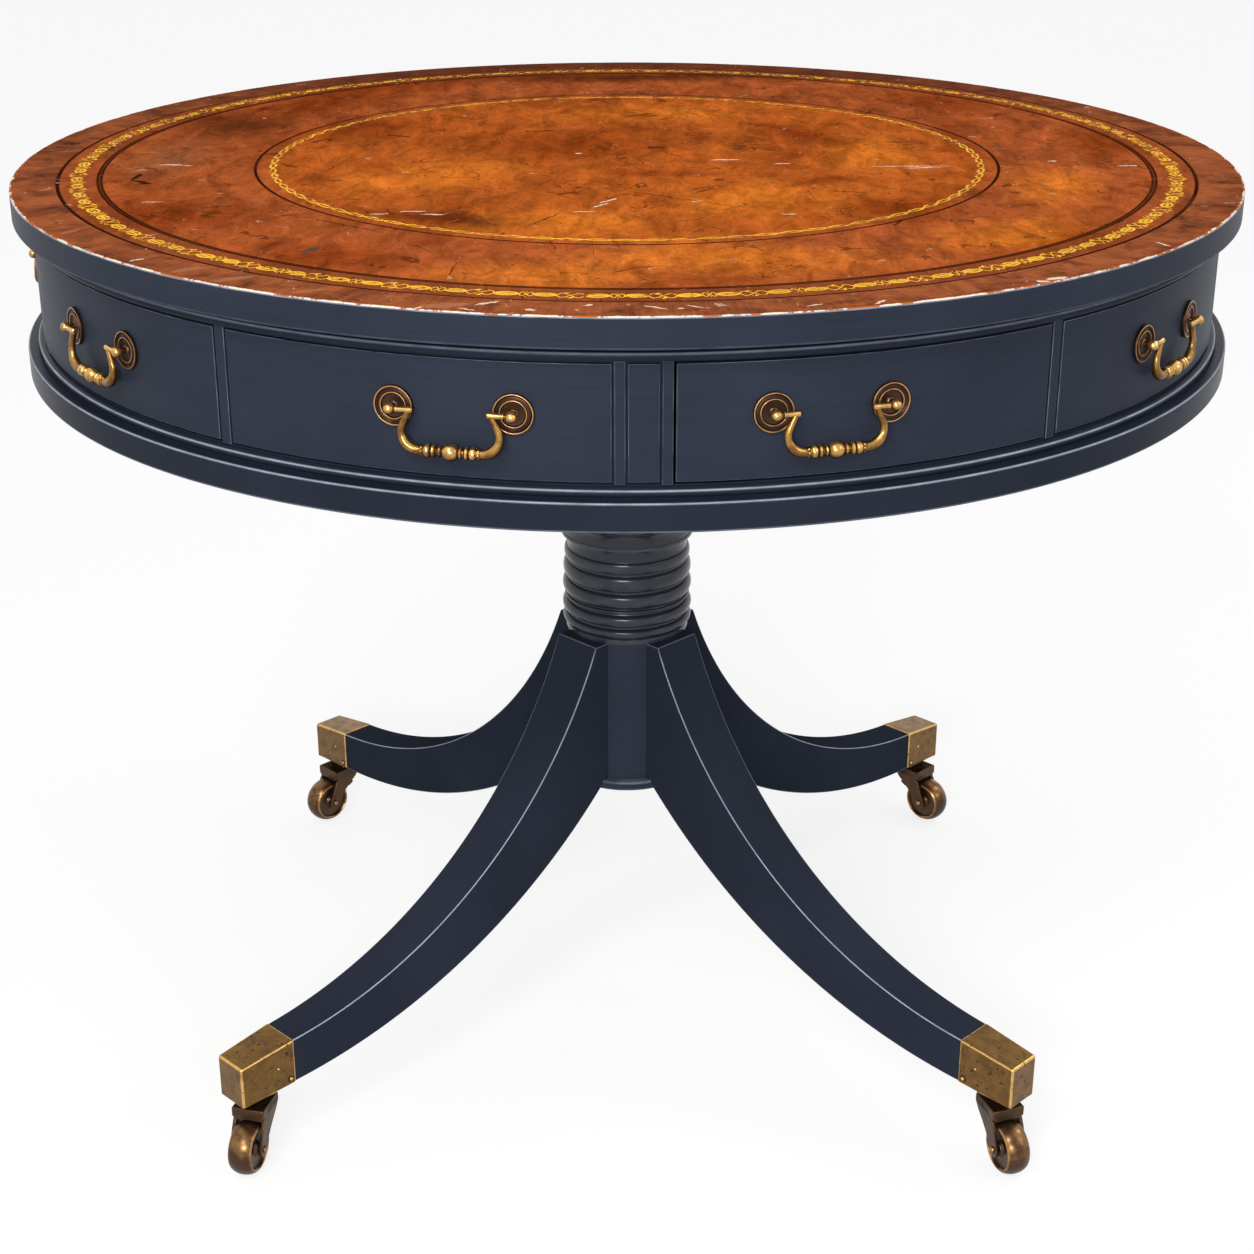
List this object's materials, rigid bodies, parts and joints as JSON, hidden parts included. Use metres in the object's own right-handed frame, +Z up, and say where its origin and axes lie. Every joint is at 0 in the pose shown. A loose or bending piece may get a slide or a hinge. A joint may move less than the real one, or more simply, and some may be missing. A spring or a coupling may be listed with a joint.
{
  "type": "drum table",
  "caption": "Round leather-lined drum table that revolves on a turned column, with frieze drawers, sabre legs and brass casters.",
  "frame": {"origin": "on the floor, straight under the middle of the column", "axes": "+Z up, -Y towards the front, +X to the right of someone who faces the front"},
  "size_m": [0.9799, 0.98, 0.76],
  "materials": {
    "painted_wood": "satin dark blue-grey paint, worn at the edges",
    "crossband_wood": "polished dark red-brown veneer, scratched",
    "tooled_leather": "worn brown leather with gold tooling",
    "drawer_wood": "plain waxed wood",
    "brass": "polished, darkened in the hollows",
    "caster_brass": "aged, brown in the hollows and bright on the edges",
    "steel": "turned"
  },
  "bodies": {
    "base": {"column": "painted_wood", "column_cap": "painted_wood", "bearer_block": "painted_wood", "swivel_spindle": "steel", "spindle_nut": "steel", "leg_front_left": "painted_wood", "toe_cap_front_left": "caster_brass", "leg_front_right": "painted_wood", "toe_cap_front_right": "caster_brass", "leg_back_left": "painted_wood", "toe_cap_back_left": "caster_brass", "leg_back_right": "painted_wood", "toe_cap_back_right": "caster_brass"},
    "drum": {"top_board": "painted_wood", "crossband": "crossband_wood", "leather_panel": "tooled_leather", "cornice": "painted_wood", "base_moulding": "painted_wood", "drum_floor": "drawer_wood", "pivot_plate": "brass", "frieze_posts": "painted_wood", "inset_panels": "painted_wood", "false_fronts": "painted_wood", "drawer_rails": "drawer_wood", "handle_mounts_false": "brass"},
    "drawer_1": {"drawer_front_1": "painted_wood", "drawer_box_1": "drawer_wood", "handle_mounts_1": "brass"},
    "drawer_2": {"drawer_front_2": "painted_wood", "drawer_box_2": "drawer_wood", "handle_mounts_2": "brass"},
    "drawer_3": {"drawer_front_3": "painted_wood", "drawer_box_3": "drawer_wood", "handle_mounts_3": "brass"},
    "drawer_4": {"drawer_front_4": "painted_wood", "drawer_box_4": "drawer_wood", "handle_mounts_4": "brass"},
    "drawer_5": {"drawer_front_5": "painted_wood", "drawer_box_5": "drawer_wood", "handle_mounts_5": "brass"},
    "drawer_handle_1": {"bail_drawer_1": "brass"},
    "false_handle_1": {"bail_false_1": "brass"},
    "drawer_handle_2": {"bail_drawer_2": "brass"},
    "false_handle_2": {"bail_false_2": "brass"},
    "drawer_handle_3": {"bail_drawer_3": "brass"},
    "false_handle_3": {"bail_false_3": "brass"},
    "drawer_handle_4": {"bail_drawer_4": "brass"},
    "false_handle_4": {"bail_false_4": "brass"},
    "drawer_handle_5": {"bail_drawer_5": "brass"},
    "false_handle_5": {"bail_false_5": "brass"},
    "caster_front_left": {"caster_fork_front_left": "caster_brass"},
    "wheel_front_left": {"caster_wheel_front_left": "caster_brass"},
    "caster_front_right": {"caster_fork_front_right": "caster_brass"},
    "wheel_front_right": {"caster_wheel_front_right": "caster_brass"},
    "caster_back_left": {"caster_fork_back_left": "caster_brass"},
    "wheel_back_left": {"caster_wheel_back_left": "caster_brass"},
    "caster_back_right": {"caster_fork_back_right": "caster_brass"},
    "wheel_back_right": {"caster_wheel_back_right": "caster_brass"}
  },
  "joints": [
    {"name": "drum_swivel", "type": "hinge", "parent": "base", "child": "drum", "pos_m": [0, 0, 0.62], "axis": [0, 0, 1], "continuous": true},
    {"name": "drawer_slide_1", "type": "slide", "parent": "drum", "child": "drawer_1", "axis": [0.3451, -0.9386, 0], "range_m": [0, 0.215]},
    {"name": "drawer_slide_2", "type": "slide", "parent": "drum", "child": "drawer_2", "axis": [0.9993, 0.0381, 0], "range_m": [0, 0.215]},
    {"name": "drawer_slide_3", "type": "slide", "parent": "drum", "child": "drawer_3", "axis": [0.2725, 0.9622, 0], "range_m": [0, 0.215]},
    {"name": "drawer_slide_4", "type": "slide", "parent": "drum", "child": "drawer_4", "axis": [-0.8308, 0.5565, 0], "range_m": [0, 0.215]},
    {"name": "drawer_slide_5", "type": "slide", "parent": "drum", "child": "drawer_5", "axis": [-0.786, -0.6182, 0], "range_m": [0, 0.215]},
    {"name": "drawer_handle_hinge_1", "type": "hinge", "parent": "drawer_1", "child": "drawer_handle_1", "pos_m": [0.13411, -0.46316, 0.69136], "axis": [-0.9605, -0.2781, 0], "range_deg": [-3, 170]},
    {"name": "false_handle_hinge_1", "type": "hinge", "parent": "drum", "child": "false_handle_1", "pos_m": [-0.11296, -0.46877, 0.69136], "axis": [-0.9722, 0.2343, 0], "range_deg": [-3, 170]},
    {"name": "drawer_handle_hinge_2", "type": "hinge", "parent": "drawer_2", "child": "drawer_handle_2", "pos_m": [0.48183, 0.01839, 0.69136], "axis": [0.0381, -0.9993, 0], "range_deg": [-3, 170]},
    {"name": "false_handle_hinge_2", "type": "hinge", "parent": "drum", "child": "false_handle_2", "pos_m": [0.39213, -0.28059, 0.69136], "axis": [-0.5819, -0.8132, 0], "range_deg": [-3, 170]},
    {"name": "drawer_handle_hinge_3", "type": "hinge", "parent": "drawer_3", "child": "drawer_handle_3", "pos_m": [0.1314, 0.46393, 0.69136], "axis": [0.9622, -0.2725, 0], "range_deg": [-3, 170]},
    {"name": "false_handle_hinge_3", "type": "hinge", "parent": "drum", "child": "false_handle_3", "pos_m": [0.38804, 0.28623, 0.69136], "axis": [0.5936, -0.8047, 0], "range_deg": [-3, 170]},
    {"name": "drawer_handle_hinge_4", "type": "hinge", "parent": "drawer_4", "child": "drawer_handle_4", "pos_m": [-0.40062, 0.26833, 0.69136], "axis": [0.5565, 0.8308, 0], "range_deg": [-3, 170]},
    {"name": "false_handle_hinge_4", "type": "hinge", "parent": "drum", "child": "false_handle_4", "pos_m": [-0.15231, 0.4575, 0.69136], "axis": [0.9488, 0.3159, 0], "range_deg": [-3, 170]},
    {"name": "drawer_handle_hinge_5", "type": "hinge", "parent": "drawer_5", "child": "drawer_handle_5", "pos_m": [-0.379, -0.29809, 0.69136], "axis": [-0.6182, 0.786, 0], "range_deg": [-3, 170]},
    {"name": "false_handle_hinge_5", "type": "hinge", "parent": "drum", "child": "false_handle_5", "pos_m": [-0.48217, -0.00348, 0.69136], "axis": [-0.0072, 1, 0], "range_deg": [-3, 170]},
    {"name": "caster_swivel_front_left", "type": "hinge", "parent": "base", "child": "caster_front_left", "pos_m": [-0.30123, -0.30123, 0.0567], "axis": [0, 0, 1], "continuous": true},
    {"name": "wheel_spin_front_left", "type": "hinge", "parent": "caster_front_left", "child": "wheel_front_left", "pos_m": [-0.30796, -0.32634, 0.0223], "axis": [0.9659, -0.2588, 0], "continuous": true},
    {"name": "caster_swivel_front_right", "type": "hinge", "parent": "base", "child": "caster_front_right", "pos_m": [0.30123, -0.30123, 0.0567], "axis": [0, 0, 1], "continuous": true},
    {"name": "wheel_spin_front_right", "type": "hinge", "parent": "caster_front_right", "child": "wheel_front_right", "pos_m": [0.31012, -0.32566, 0.0223], "axis": [0.9397, 0.342, 0], "continuous": true},
    {"name": "caster_swivel_back_left", "type": "hinge", "parent": "base", "child": "caster_back_left", "pos_m": [-0.30123, 0.30123, 0.0567], "axis": [0, 0, 1], "continuous": true},
    {"name": "wheel_spin_back_left", "type": "hinge", "parent": "caster_back_left", "child": "wheel_back_left", "pos_m": [-0.31961, 0.28284, 0.0223], "axis": [0.7071, -0.7071, 0], "continuous": true},
    {"name": "caster_swivel_back_right", "type": "hinge", "parent": "base", "child": "caster_back_right", "pos_m": [0.30123, 0.30123, 0.0567], "axis": [0, 0, 1], "continuous": true},
    {"name": "wheel_spin_back_right", "type": "hinge", "parent": "caster_back_right", "child": "wheel_back_right", "pos_m": [0.31961, 0.28284, 0.0223], "axis": [0.7071, 0.7071, 0], "continuous": true}
  ]
}
